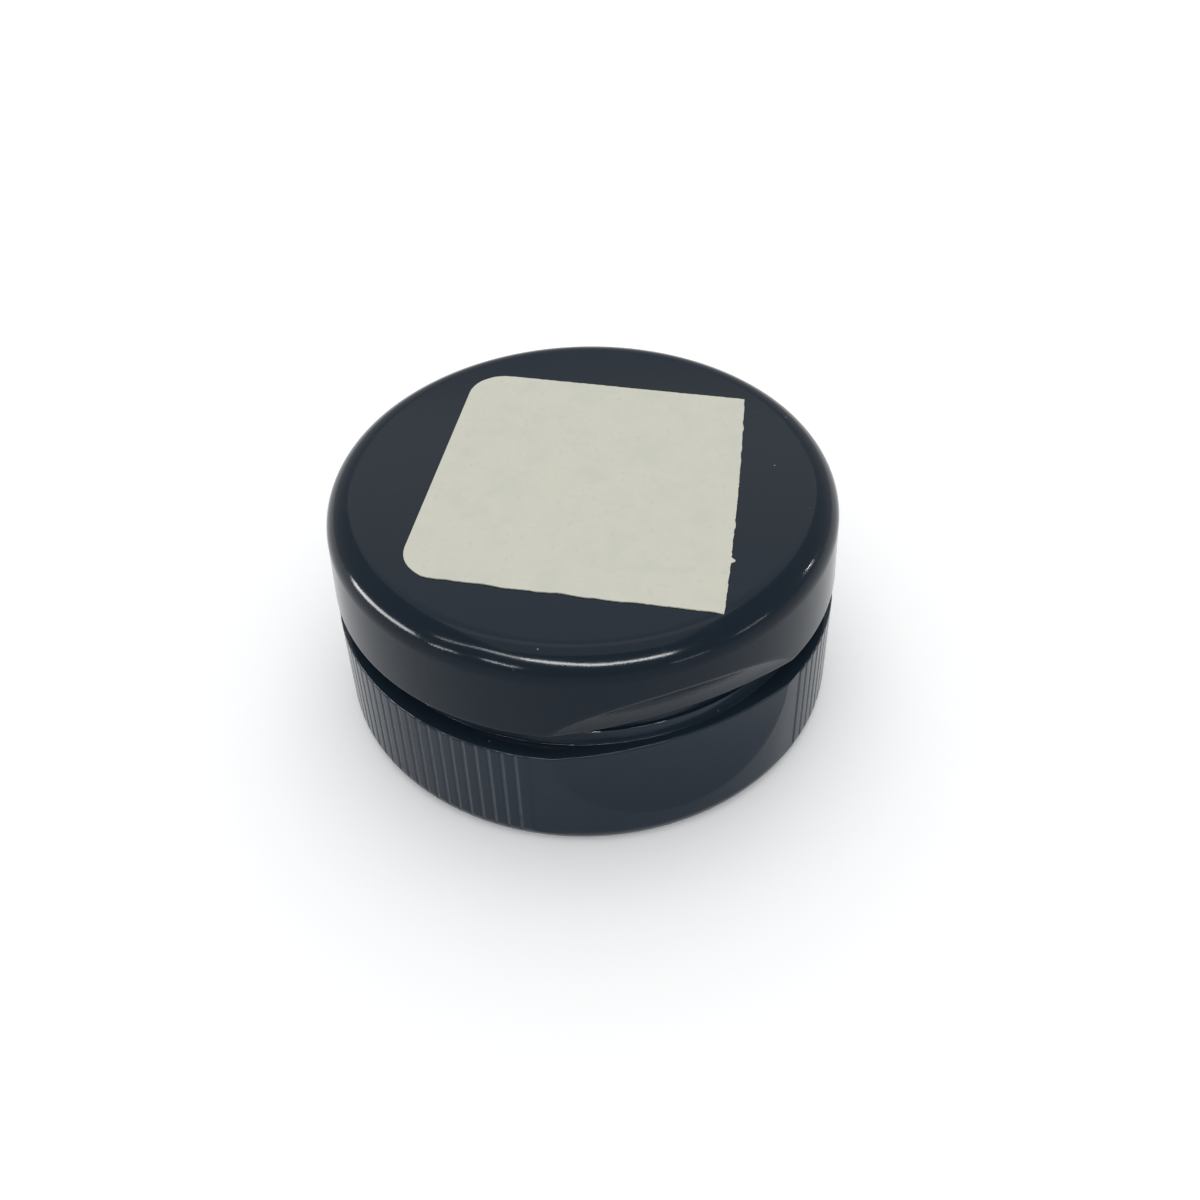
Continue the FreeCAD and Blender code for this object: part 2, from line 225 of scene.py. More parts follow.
def profile(bm, corners, closed=True):
    """Outline in the XZ plane as bare edges.

    Each corner is its radius, its height, the length taken off it by a round, and the number of cuts
    in the edge that follows it. Sizes are in millimetres.
    """
    points = [bm.verts.new((radius * MM, 0, height * MM)) for radius, height, _, _ in corners]
    face = bm.faces.new(points)
    count = len(points)
    cut_jobs = [
        (bm.edges.get((points[index], points[(index + 1) % count])), corner[3])
        for index, corner in enumerate(corners)
        if corner[3]
    ]
    for edge, cuts in cut_jobs:
        bmesh.ops.subdivide_edges(bm, edges=[edge], cuts=cuts)
    for size in sorted({corner[2] for corner in corners if corner[2]}):
        rounded = points_at(bm, [corner for corner in corners if corner[2] == size])
        bmesh.ops.bevel(
            bm,
            geom=rounded,
            offset=size * MM,
            offset_type="OFFSET",
            segments=LARGE_ROUND_STEPS if size > LARGE_ROUND else SMALL_ROUND_STEPS,
            profile=0.5,
            affect="VERTICES",
            material=-1,
        )
    bmesh.ops.delete(bm, geom=list(bm.faces), context="FACES_ONLY")
    if not closed:
        closing = bm.edges.get(points_at(bm, [corners[0], corners[-1]]))
        bmesh.ops.delete(bm, geom=[closing], context="EDGES_FACES")


ARCS = 24


def turn_profile(bm, corners, steps, closed=True):
    """Full turn of an outline about the cap's axis, made as one arc and its copies."""
    profile(bm, corners, closed)
    turn = {"cent": (0, 0, 0), "axis": (0, 0, 1), "dvec": (0, 0, 0), "use_merge": False}
    bmesh.ops.spin(
        bm,
        geom=list(bm.verts) + list(bm.edges),
        angle=math.tau / ARCS,
        steps=steps // ARCS,
        use_duplicate=False,
        **turn,
    )
    bmesh.ops.spin(
        bm,
        geom=list(bm.verts) + list(bm.edges) + list(bm.faces),
        angle=math.tau * (ARCS - 1) / ARCS,
        steps=ARCS - 1,
        use_duplicate=True,
        **turn,
    )
    bmesh.ops.remove_doubles(bm, verts=list(bm.verts), dist=TOUCHING)


def front_angle(point):
    """Angle of a point round the cap from the middle of the scoop, from 0 to a full turn."""
    return math.atan2(point.x, -point.y) % math.tau


def place_round(point, angle, radius, height):
    point.co = (radius * math.sin(angle), -radius * math.cos(angle), height)


def smooth_step(low, high, value):
    share_up = min(max((value - low) / (high - low), 0.0), 1.0)
    return share_up * share_up * (3 - 2 * share_up)


def scoop_radius(scoop, skirt_radius, angle, height):
    """Radius of the scoop's surface at an angle and a height."""
    bottom = skirt_radius - scoop.depth
    behind = scoop.sweep - bottom
    rise = min(abs(height - scoop.height), scoop.hollow)
    reach = scoop.sweep + scoop.hollow - math.sqrt(scoop.hollow**2 - rise**2)
    return math.sqrt(reach**2 - (behind * math.sin(angle)) ** 2) - behind * math.cos(angle)


HALVINGS = 40


def crease_height(wall_at, scoop, skirt_radius, angle, far):
    """Height at which the scoop leaves the wall, between its middle and far, or None."""

    def depth(height):
        return wall_at(height) - scoop_radius(scoop, skirt_radius, angle, height)

    inside, outside = scoop.height, far
    if depth(inside) <= 0:
        return None
    for _ in range(HALVINGS):
        middle = (inside + outside) / 2
        if depth(middle) > 0:
            inside = middle
        else:
            outside = middle
    return inside


def shift_rows(height, low, split, high, crease, width):
    """Slide the rows between low and high so that the ones at split lie on the crease."""
    half = width / 2
    if height <= low or height >= high:
        return height
    if height <= split - half:
        return low + (height - low) * (crease - half - low) / (split - half - low)
    if height >= split + half:
        return high - (high - height) * (high - crease - half) / (high - split - half)
    return height + crease - split


# Skirt with its ribs, collar, deck and spout


# Columns of faces to a rib and round the core
RIB_COLUMNS = 12
CORE_COLUMNS = 240
# Heights in millimetres at which the rows of faces change
RIB_ENDS_TOP = 1.5
SKIRT_SPLIT = 9.1
ROWS_TOP = 9.62
LOWEST_CREASE = 0.5
# Lengths in millimetres: where the slope from the outermost flutes to the smooth front ends and
# starts, the bevel of the bore's mouth, the ledge round the collar, and what the scoop leaves there
FRONT_SLOPE = 4.0
FRONT_SLOPE_START = 0.1
MOUTH_BEVEL = 0.4
LEDGE = 0.3
LEVEL_LEDGE = 0.06
# Power by which the foot curves in
FOOT_CURVE = 1.9


def skirt_line(skirt, height):
    return skirt.radius - skirt.draft * height / skirt.height


def rib_half_width(skirt, height):
    """Half the flat width of a rib, which its rounded ends make narrower."""
    full = (skirt.rib_pitch * skirt.radius - skirt.flute_width) / 2
    inside = min(height - skirt.rib_end, skirt.height - height)
    if inside <= 0:
        return full - skirt.rib_corner if height > skirt.rib_end else -skirt.flute_width
    lack = max(skirt.rib_corner - inside, 0.0)
    return full - skirt.rib_corner + math.sqrt(skirt.rib_corner**2 - lack**2)


def flute_share(skirt, angle, height):
    """1 at the bottom of a flute and 0 on the ribs and on the smooth front."""
    first = math.pi - skirt.rib_pitch * (skirt.flutes - 1) / 2
    last = first + skirt.rib_pitch * (skirt.flutes - 1)
    outside = max(first - angle, angle - last) * skirt.radius
    if outside > 0:
        return 1.0 - smooth_step(FRONT_SLOPE_START * MM, FRONT_SLOPE * MM, outside)
    offset = abs((angle - first) / skirt.rib_pitch % 1.0 - 0.5) * skirt.rib_pitch * skirt.radius
    half = rib_half_width(skirt, height)
    return smooth_step(half, half + skirt.flute_wall, offset)


def skirt_corners(skirt, scoop):
    """Profile of the skirt's outside, from the mouth of the bore over the wall to the ledge."""
    top = skirt.height / MM
    shoulder = (skirt.radius - skirt.draft) / MM
    half_crease = scoop.crease / MM / 2
    edge_drop = 0.14
    edge_inset = 0.09

    def on_wall(height, size=0, cuts=0):
        return skirt_line(skirt, height * MM) / MM, height, size, cuts

    return [
        (skirt.bore / MM + MOUTH_BEVEL, 0, 0, 0),
        ((skirt.radius - skirt.foot_depth) / MM, 0, 0.08, 14),
        on_wall(skirt.foot_height / MM),
        on_wall(RIB_ENDS_TOP, cuts=14),
        on_wall(SKIRT_SPLIT - half_crease),
        on_wall(SKIRT_SPLIT + half_crease, cuts=8),
        on_wall(ROWS_TOP, cuts=1),
        on_wall(top - edge_drop, 0.05, 1),
        (shoulder - edge_inset, top, 0.04, 0),
        (skirt.collar / MM + LEDGE, top, 0, 0),
    ]


def shape_skirt_point(point, skirt, scoop, crease_at, inner_limit):
    """Move a point of the turned skirt into the foot's curve, the flutes and the scoop."""
    angle = front_angle(point.co)
    height = point.co.z
    inset = skirt_line(skirt, height) - math.hypot(point.co.x, point.co.y)
    if 0 < inset < skirt.foot_depth and height < skirt.foot_height:
        inset = skirt.foot_depth * (inset / skirt.foot_depth) ** FOOT_CURVE
    crease = crease_at(round(angle, 6))
    if crease is not None:
        crease = min(crease, SKIRT_SPLIT * MM)
        height = shift_rows(
            height, RIB_ENDS_TOP * MM, SKIRT_SPLIT * MM, ROWS_TOP * MM, crease, scoop.crease
        )
    wall = skirt_line(skirt, height)
    radius = wall - inset
    flute_floor = wall - skirt.flute_depth
    radius -= flute_share(skirt, angle, height) * max(0.0, radius - flute_floor)
    cut = wall - scoop_radius(scoop, skirt.radius, angle, height)
    if cut > 0:
        radius = max(radius - cut, inner_limit)
    place_round(point, angle, radius, height)


def skirt_shell(skirt, scoop):
    """Outside of the skirt, from the ledge round the collar down to the mouth of the bore."""
    bm = bmesh.new()
    steps = round(math.tau / skirt.rib_pitch) * RIB_COLUMNS
    turn_profile(bm, skirt_corners(skirt, scoop), steps, closed=False)
    wall_at = functools.partial(skirt_line, skirt)

    @functools.lru_cache(maxsize=None)
    def crease_at(angle):
        return crease_height(wall_at, scoop, skirt.radius, angle, LOWEST_CREASE * MM)

    inner_limit = skirt.collar + (LEDGE + LEVEL_LEDGE) * MM
    for point in bm.verts:
        if math.hypot(point.co.x, point.co.y) >= inner_limit:
            shape_skirt_point(point, skirt, scoop, crease_at, inner_limit)
    return bm


def core_shell(skirt, lid):
    """Collar, spigot, deck, spout, seal ring and bore, open at the ledge and at the rim."""
    collar_rise, deck_gap, deck_wall = 1.45, 0.1, 1.3
    spout_rise, spout_wall = 1.4, 1.2
    bead_drop, bead_reach, deck_inset = 0.5, 0.08, 0.3
    seal_inset, seal_half, seal_depth, bore_drop = 1.65, 0.35, 0.6, 0.3
    top = skirt.height / MM
    collar, spigot, throat = skirt.collar / MM, skirt.spigot / MM, skirt.throat / MM
    bore, pour = skirt.bore / MM, skirt.pour / MM
    collar_top = top + collar_rise
    deck = lid.foot / MM - deck_gap
    spout = deck + spout_rise
    throat_top = deck - deck_wall
    bore_top = top - bore_drop
    seal = throat - seal_inset
    corners = [
        (collar + LEDGE, top, 0, 0),
        (collar, top, 0.06, 0),
        (collar, collar_top, 0.07, 0),
        (spigot, collar_top, 0.06, 0),
        (spigot, deck - bead_drop - bead_reach, 0, 0),
        (spigot + bead_reach, deck - bead_drop, 0.04, 0),
        (spigot - deck_inset, deck, 0.06, 2),
        (pour + spout_wall, deck, 0.15, 0),
        (pour + spout_wall, spout, 0.12, 0),
        (pour, spout, 0.12, 0),
        (pour, throat_top, 0.1, 2),
        (seal - seal_half, throat_top, 0.05, 0),
        (seal, throat_top - seal_depth, 0.08, 0),
        (seal + seal_half, throat_top, 0.05, 0),
        (throat, throat_top, 0.2, 0),
        (throat, bore_top, 0.08, 0),
        (bore, bore_top, 0.1, 0),
        (bore, MOUTH_BEVEL, 0.06, 0),
        (bore + MOUTH_BEVEL, 0, 0, 0),
    ]
    bm = bmesh.new()
    turn_profile(bm, corners, CORE_COLUMNS, closed=False)
    return bm


def open_loop(bm, height):
    """Boundary edges at a height."""
    return [
        edge
        for edge in bm.edges
        if edge.is_boundary and all(abs(point.co.z - height) < TOUCHING for point in edge.verts)
    ]


def add_mesh(bm, other):
    """Move the faces of another bmesh into this one."""
    carrier = bpy.data.meshes.new("carrier")
    other.to_mesh(carrier)
    other.free()
    bm.from_mesh(carrier)
    bpy.data.meshes.remove(carrier)


class CAP_OT_base(bpy.types.Operator):
    """Skirt with its ribs and scoop, collar, deck and spout, as one moulding"""

    bl_idname = "cap.base"
    bl_label = "Ribbed base"

    def execute(self, context):
        scene = context.scene
        skirt, lid, colours = scene.cap_skirt, scene.cap_lid, scene.cap_colours
        bm = skirt_shell(skirt, scene.cap_scoop)
        add_mesh(bm, core_shell(skirt, lid))
        for height in (0.0, skirt.height):
            bmesh.ops.bridge_loops(bm, edges=open_loop(bm, height))
        bmesh.ops.recalc_face_normals(bm, faces=list(bm.faces))
        if any(edge.is_boundary for edge in bm.edges):
            raise RuntimeError("the base isn't closed")
        piece = new_piece("ribbed_base", bm, black_plastic(colours, "base"), "base")
        hold_flats(piece)
        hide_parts("cap_base")
        return {"FINISHED"}


# Lid with its lip and plug


LID_COLUMNS = 480
# Heights in millimetres at which the rows of faces change
LID_SPLIT = 13.3
LID_ROWS_LOW = 12.92
# Distance from the corner to the start of the round, as a share of the round's radius
ROUND_SHARE = 0.966
# Outermost part of the lid, in millimetres, that the scoop may move
SCOOP_REACH = 0.6


def lid_line(skirt, lid, height):
    """Radius of the lid's outside at a height, with its round."""
    rise = LID_TOP - lid.foot
    slope = lid.draft / rise
    radius = skirt.radius - slope * (height - lid.foot)
    round_height = LID_TOP - lid.round
    over = height - round_height
    if over <= lid.round * slope:
        return radius
    middle = skirt.radius - slope * (round_height - lid.foot) - lid.round * math.hypot(1, slope)
    return middle + math.sqrt(max(lid.round**2 - over**2, 0.0))


def lid_rows_top(lid):
    """Height in millimetres of the last row of faces under the round."""
    clearance = 0.06
    return LID_TOP / MM - ROUND_SHARE * lid.round / MM - clearance


def lid_corners(skirt, lid, scoop):
    """Profile of the lid, from the middle of its ceiling round its wall to the middle of its top."""
    lip_gap, lip_rise, lip_drop, lip_wall = 0.15, 0.9, 1.1, 0.5
    plug_gap, plug_wall, plug_drop, plug_taper = 0.08, 0.85, 0.8, 0.12
    plug_foot_rise, shoulder_size = 1.3, 0.9
    foot = lid.foot / MM
    top = LID_TOP / MM
    outside = skirt.radius / MM
    plug_foot = foot + plug_foot_rise
    ceiling = top - lid.roof / MM
    lip = skirt.spigot / MM + lip_gap
    lip_top = foot + lip_rise
    lip_foot = foot - lip_drop
    cavity = outside - lid.wall / MM
    plug = skirt.pour / MM - plug_gap
    half_crease = scoop.crease / MM / 2

    def on_wall(height, cuts=0):
        return lid_line(skirt, lid, height * MM) / MM, height, 0, cuts

    return [
        (0, ceiling, 0, 0),
        (plug - plug_wall, ceiling, 0.2, 0),
        (plug - plug_wall, plug_foot - plug_drop, 0.06, 0),
        (plug - plug_taper, plug_foot - plug_drop, 0.15, 0),
        (plug, plug_foot, 0, 0),
        (plug, ceiling, 0.3, 2),
        (cavity - shoulder_size, ceiling, 0.35, 0),
        (cavity, ceiling - shoulder_size, 0.35, 1),
        (cavity, lip_top + cavity - lip, 0.1, 0),
        (lip, lip_top, 0.1, 0),
        (lip, lip_foot, 0.08, 0),
        (lip + lip_wall, lip_foot, 0.08, 0),
        (lip + lip_wall, foot, 0.06, 0),
        (outside, foot, 0.04, 0),
        on_wall(LID_ROWS_LOW, cuts=11),
        on_wall(LID_SPLIT - half_crease),
        on_wall(LID_SPLIT + half_crease, cuts=9),
        on_wall(lid_rows_top(lid)),
        (outside - lid.draft / MM, top, ROUND_SHARE * lid.round / MM, 0),
        (0, top, 0, 0),
    ]


def lid_shell(skirt, lid, scoop):
    """Turned lid with its part of the scoop."""
    bm = bmesh.new()
    turn_profile(bm, lid_corners(skirt, lid, scoop), LID_COLUMNS, closed=False)
    wall_at = functools.partial(lid_line, skirt, lid)
    rows_top = lid_rows_top(lid) * MM

    @functools.lru_cache(maxsize=None)
    def crease_at(angle):
        return crease_height(wall_at, scoop, skirt.radius, angle, rows_top)

    for point in bm.verts:
        radius = math.hypot(point.co.x, point.co.y)
        height = point.co.z
        if radius < skirt.radius - SCOOP_REACH * MM or height > rows_top:
            continue
        angle = front_angle(point.co)
        inset = max(wall_at(height) - radius, 0.0)
        crease = crease_at(round(angle, 6))
        if crease is not None:
            crease = max(crease, LID_SPLIT * MM)
            height = shift_rows(
                height, LID_ROWS_LOW * MM, LID_SPLIT * MM, rows_top, crease, scoop.crease
            )
            radius = wall_at(height) - inset
        cut = wall_at(height) - scoop_radius(scoop, skirt.radius, angle, height)
        if cut > 0:
            radius -= cut
        place_round(point, angle, radius, height)
    return bm


class CAP_OT_lid(bpy.types.Operator):
    """Flip lid with its scoop, lip and hollow plug, as one moulding"""

    bl_idname = "cap.lid"
    bl_label = "Flip lid"

    def execute(self, context):
        scene = context.scene
        skirt, lid, colours = scene.cap_skirt, scene.cap_lid, scene.cap_colours
        bm = lid_shell(skirt, lid, scene.cap_lid_scoop)
        bmesh.ops.recalc_face_normals(bm, faces=list(bm.faces))
        if any(edge.is_boundary for edge in bm.edges):
            raise RuntimeError("the lid isn't closed")
        piece = new_piece("flip_lid_shell", bm, black_plastic(colours, "lid"), "lid")
        hold_flats(piece)
        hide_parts("flip_lid")
        return {"FINISHED"}


# Neck thread


THREAD_PITCH = 4.23
THREAD_TURNS = 1.4
THREAD_FADE = 0.12
THREAD_START = 1.7
THREAD_DEPTH = 1.05
THREAD_ROOT = 0.1
THREAD_STEPS_TO_A_TURN = 180


def thread_section(bm, bore):
    """Section of the ridge at the start of the thread, with its crest rounded."""
    foot_half, crest_half = 0.85, 0.3
    corners = (
        (bore + THREAD_ROOT, -foot_half),
        (bore - THREAD_DEPTH, -crest_half),
        (bore - THREAD_DEPTH, crest_half),
        (bore + THREAD_ROOT, foot_half),
    )
    section = [bm.verts.new((radius * MM, 0, (THREAD_START + up) * MM)) for radius, up in corners]
    bm.faces.new(section)
    bmesh.ops.bevel(
        bm,
        geom=section[1:3],
        offset=0.14 * MM,
        offset_type="OFFSET",
        segments=3,
        profile=0.5,
        affect="VERTICES",
        material=-1,
    )


def fade_thread_ends(bm, bore):
    """Let the ridge sink into the bore at both of its ends."""
    climb = THREAD_PITCH * MM
    root = bore + THREAD_ROOT * MM
    for point in bm.verts:
        radius = math.hypot(point.co.x, point.co.y)
        part_turn = math.atan2(point.co.y, point.co.x) / math.tau
        turns = part_turn + round((point.co.z - THREAD_START * MM) / climb - part_turn)
        end = min(turns, THREAD_TURNS - turns) / THREAD_FADE
        factor = (root - (root - radius) * smooth_step(0, 1, end)) / radius
        point.co.x *= factor
        point.co.y *= factor


class CAP_OT_thread(bpy.types.Operator):
    """Ridge of the neck thread inside the bore"""

    bl_idname = "cap.thread"
    bl_label = "Neck thread"

    def execute(self, context):
        skirt, colours = context.scene.cap_skirt, context.scene.cap_colours
        bm = bmesh.new()
        thread_section(bm, skirt.bore / MM)
        steps = round(THREAD_TURNS * THREAD_STEPS_TO_A_TURN)
        bmesh.ops.spin(
            bm,
            geom=list(bm.faces),
            cent=(0, 0, 0),
            axis=(0, 0, 1),
            dvec=(0, 0, THREAD_TURNS * THREAD_PITCH * MM / steps),
            angle=math.tau * THREAD_TURNS,
            steps=steps,
            use_merge=False,
            use_duplicate=False,
        )
        fade_thread_ends(bm, skirt.bore)
        bmesh.ops.recalc_face_normals(bm, faces=list(bm.faces))
        new_piece("neck_thread_ridge", bm, black_plastic(colours, "base"), "base", 40)
        return {"FINISHED"}


# Film hinge


HINGE_WIDTH = 11.0 * MM
HALF_FILM = 0.15 * MM
FILM_ROWS = tuple(up * MM for up in (0.03, 0.09, 0.15, 0.21))
FILM_END = 0.28 * MM


def strap_outline(fold, skirt):
    """Upper half of the strap's section as places across and up from the fold, front and then back."""
    outside = skirt.radius
    reach = fold.y - outside
    gap = fold.z - skirt.height
    root = 0.4 * MM
    anchor = outside - 0.9 * MM
    leg_top = gap + root * 1.6
    leg_foot = gap + 0.02 * MM
    front = [(fold.y + HALF_FILM, up) for up in FILM_ROWS] + [
        (fold.y + HALF_FILM * 0.9, FILM_END),
        (outside + reach * 0.62, gap * 0.62),
        (outside + root * 0.35, gap + 0.1 * MM),
        (outside - root * 0.6, leg_top),
        (anchor, leg_top),
    ]
    back = [
        (anchor, leg_foot),
        (outside - root, leg_foot),
        (outside + reach * 0.3, gap * 0.5),
        (fold.y - HALF_FILM * 1.2, FILM_END),
    ] + [(fold.y - HALF_FILM, up) for up in reversed(FILM_ROWS)]
    return front + back


class CAP_OT_hinge(bpy.types.Operator):
    """Strap of the film hinge, thin at the fold, between the base and the lid"""

    bl_idname = "cap.hinge"
    bl_label = "Film hinge"

    def execute(self, context):
        skirt, colours = context.scene.cap_skirt, context.scene.cap_colours
        joint = next(item for item in frame["joints"] if item["name"] == "lid_hinge")
        fold = Vector(joint["pos_m"])
        half = strap_outline(fold, skirt)
        upper = [(across, fold.z + up) for across, up in half]
        lower = [(across, fold.z - up) for across, up in reversed(half)]
        bm = bmesh.new()
        outline = [bm.verts.new((-HINGE_WIDTH / 2, across, up)) for across, up in upper + lower]
        face = bm.faces.new(outline)
        grown = bmesh.ops.extrude_face_region(bm, geom=[face])
        moved = [item for item in grown["geom"] if isinstance(item, bmesh.types.BMVert)]
        bmesh.ops.translate(bm, verts=moved, vec=(HINGE_WIDTH, 0, 0))
        ends = [edge for edge in bm.edges if abs(edge.verts[0].co.x - edge.verts[1].co.x) < TOUCHING]
        bmesh.ops.bevel(
            bm,
            geom=ends,
            offset=0.05 * MM,
            offset_type="OFFSET",
            segments=2,
            profile=0.5,
            affect="EDGES",
            clamp_overlap=True,
            material=-1,
        )
        bmesh.ops.recalc_face_normals(bm, faces=list(bm.faces))
        piece = new_piece("film_hinge", bm, black_plastic(colours, "base"), None, 35)
        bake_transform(piece)
        return {"FINISHED"}


# Paper label


# How far each corner lies off the mean rectangle, in millimetres, clockwise from the back left
LABEL_SKEW = ((0.26, 0.12), (-0.4, -0.62), (0.72, -0.52), (0.06, 0.2))
LABEL_SPACING = 0.12
# Distances from the axis, in millimetres, at which the hanging corner is folded
DROOP_FOLDS = (18.5, 18.75, 19.0)
# Bands along the label's edges that are uneven, and the tag of paper left on its torn side
ENDS_BAND = 1.2
TORN_BAND = 0.6
TAG_PLACE = -8.15
TAG_HALF_WIDTH = 0.22
TAG_REACH = 0.35
TORN_BOW = 0.2
FIBRE_REACH = 0.05


def torn_reach(up, half_length):
    """How far the torn side stands out at a place along it, in millimetres."""
    slow = noise.noise(Vector((0.0, up * 1.1, 8.0))) * 0.1
    fine = noise.noise(Vector((3.0, up * 5.0, 1.0))) * 0.06
    bow = TORN_BOW * max(0.0, 1.0 - (up / half_length) ** 2)
    tag = math.exp(-(((up - TAG_PLACE) / TAG_HALF_WIDTH) ** 2))
    return bow + (slow + fine) + TAG_REACH * tag


def label_edge(label, across, up):
    """Place on the label's outline after its long bends and its torn right side are put in."""
    half_width = label.width / MM / 2
    half_length = label.length / MM / 2
    middle_share = max(0.0, 1.0 - (across / half_width) ** 2)
    rough = noise.noise(Vector((across * 2.3, up * 2.3, 4.0)))
    if up > half_length - ENDS_BAND:
        up += FIBRE_REACH * rough
    if up < -half_length + ENDS_BAND:
        wave = math.sin(across * 0.9 + 0.9) * 0.06 + math.sin(across * 2.1) * 0.04
        up += (wave - 0.1) * middle_share + FIBRE_REACH * rough
    if across > half_width - TORN_BAND:
        across += torn_reach(up, half_length)
    return across, up


def droop(bm, skirt, lid):
    """Let the corner that reaches over the lid's rounded edge follow it down."""
    flat = skirt.radius - lid.draft - ROUND_SHARE * lid.round
    farthest = max((point.co for point in bm.verts), key=lambda place: math.hypot(place.x, place.y))
    towards = Vector((farthest.x, farthest.y, 0)).normalized()
    for fold in DROOP_FOLDS:
        geometry = list(bm.verts) + list(bm.edges) + list(bm.faces)
        bmesh.ops.bisect_plane(bm, geom=geometry, plane_co=towards * fold * MM, plane_no=towards)
    for point in bm.verts:
        over = math.hypot(point.co.x, point.co.y) - flat
        if over > 0:
            point.co.z -= lid.round - math.sqrt(lid.round**2 - over**2)


def label_outline(bm, label):
    """Face of the label in millimetres, with two rounded corners and uneven edges."""
    sides = ((-0.5, 0.5), (0.5, 0.5), (0.5, -0.5), (-0.5, -0.5))
    corners = [
        bm.verts.new((side * label.width / MM + skew[0], end * label.length / MM + skew[1], 0))
        for (side, end), skew in zip(sides, LABEL_SKEW)
    ]
    bm.faces.new(reversed(corners))
    bmesh.ops.bevel(
        bm,
        geom=[corners[0], corners[3]],
        offset=label.corner / MM,
        offset_type="OFFSET",
        segments=10,
        profile=0.5,
        affect="VERTICES",
        material=-1,
    )
    shortest_side = 2
    for edge in [edge for edge in bm.edges if edge.calc_length() > shortest_side]:
        cuts = round(edge.calc_length() / LABEL_SPACING)
        bmesh.ops.subdivide_edges(bm, edges=[edge], cuts=cuts)
    for point in bm.verts:
        point.co.x, point.co.y = label_edge(label, point.co.x, point.co.y)


class CAP_OT_label(bpy.types.Operator):
    """Bare paper label on the lid, with two rounded corners and a torn right side"""

    bl_idname = "cap.label"
    bl_label = "Paper label"

    def execute(self, context):
        scene = context.scene
        skirt, lid, label = scene.cap_skirt, scene.cap_lid, scene.cap_label
        bm = bmesh.new()
        label_outline(bm, label)
        bmesh.ops.recalc_face_normals(bm, faces=list(bm.faces))
        thickness = (LABEL_TOP - LID_TOP) / MM - 0.01
        grown = bmesh.ops.extrude_face_region(bm, geom=list(bm.faces))
        raised = [item for item in grown["geom"] if isinstance(item, bmesh.types.BMVert)]
        bmesh.ops.translate(bm, verts=raised, vec=(0, 0, thickness))
        place = Matrix.Translation((label.shift_x, label.shift_y, LID_TOP))
        turned = Matrix.Rotation(label.turn, 4, "Z")
        bmesh.ops.transform(bm, matrix=place @ turned @ Matrix.Scale(MM, 4), verts=list(bm.verts))
        droop(bm, skirt, lid)
        bmesh.ops.recalc_face_normals(bm, faces=list(bm.faces))
        piece = new_piece("label_sheet", bm, label_paper(scene.cap_colours), "lid", 20)
        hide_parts("paper_label")
        return {"FINISHED"}


# Materials


def add_node(tree, kind, values=None, **settings_of_node):
    """A node with its settings and unlinked input values, given by input name or number."""
    node = tree.nodes.new(kind)
    for key, value in settings_of_node.items():
        setattr(node, key, value)
    for key, value in (values or {}).items():
        node.inputs[key].default_value = value
    return node


def link(tree, source, target):
    tree.links.new(source, target)


def ramp(tree, source, low, high):
    """Share from 0 at low to 1 at high."""
    node = add_node(tree, "ShaderNodeMapRange", {"From Min": low, "From Max": high})
    node.interpolation_type = "SMOOTHSTEP"
    link(tree, source, node.inputs["Value"])
    return node.outputs["Result"]


def combine(tree, operation, first, second):
    node = add_node(tree, "ShaderNodeMath", operation=operation)
    for number, item in enumerate((first, second)):
        if isinstance(item, (int, float)):
            node.inputs[number].default_value = item
        else:
            link(tree, item, node.inputs[number])
    return node.outputs["Value"]


def noise_of(tree, vector, scale, detail=2.0, roughness=0.5, distortion=0.0):
    node = add_node(
        tree,
        "ShaderNodeTexNoise",
        {"Scale": scale, "Detail": detail, "Roughness": roughness, "Distortion": distortion},
    )
    link(tree, vector, node.inputs["Vector"])
    return node.outputs["Fac"]


def stretched(tree, vector, scale, turn):
    node = add_node(tree, "ShaderNodeMapping", {"Scale": scale, "Rotation": turn})
    link(tree, vector, node.inputs["Vector"])
    return node.outputs["Vector"]


